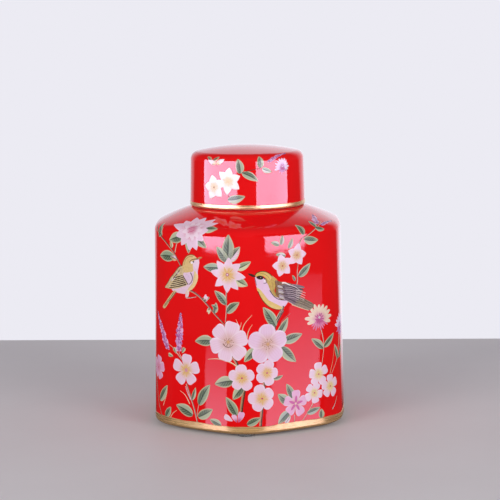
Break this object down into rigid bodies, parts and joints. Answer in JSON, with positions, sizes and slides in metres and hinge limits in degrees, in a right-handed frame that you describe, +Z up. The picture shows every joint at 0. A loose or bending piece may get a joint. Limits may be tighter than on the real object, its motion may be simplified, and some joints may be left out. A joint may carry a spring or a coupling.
{
  "type": "ginger jar",
  "caption": "Hollow ceramic jar with a six-sided, round-cornered body, a domed shoulder, a round neck and a round cap that lifts off.",
  "frame": {"origin": "on the surface that the jar stands on, at the middle of its foot", "axes": "+Z up through the cap; one corner of the body points along -Y, and two of its flat sides face along X"},
  "size_m": [0.144, 0.152, 0.207],
  "materials": {
    "red_glazed_ceramic": "gloss red glaze",
    "painted_enamel": "gloss overglaze enamel in pinks, greens and browns",
    "fired_gold": "brushed-on fired gold, satin",
    "clear_silicone": "clear, slightly cloudy"
  },
  "bodies": {
    "jar": {"jar_body": "red_glazed_ceramic", "foot_gilding": "fired_gold", "bumper_pad_1": "clear_silicone", "bumper_pad_2": "clear_silicone", "bumper_pad_3": "clear_silicone"},
    "lid": {"cap": "red_glazed_ceramic", "cap_rim_gilding": "fired_gold"}
  },
  "joints": [
    {"name": "lid_lift", "type": "slide", "parent": "jar", "child": "lid", "axis": [0, 0, 1], "range_m": [0, 0.11]}
  ]
}
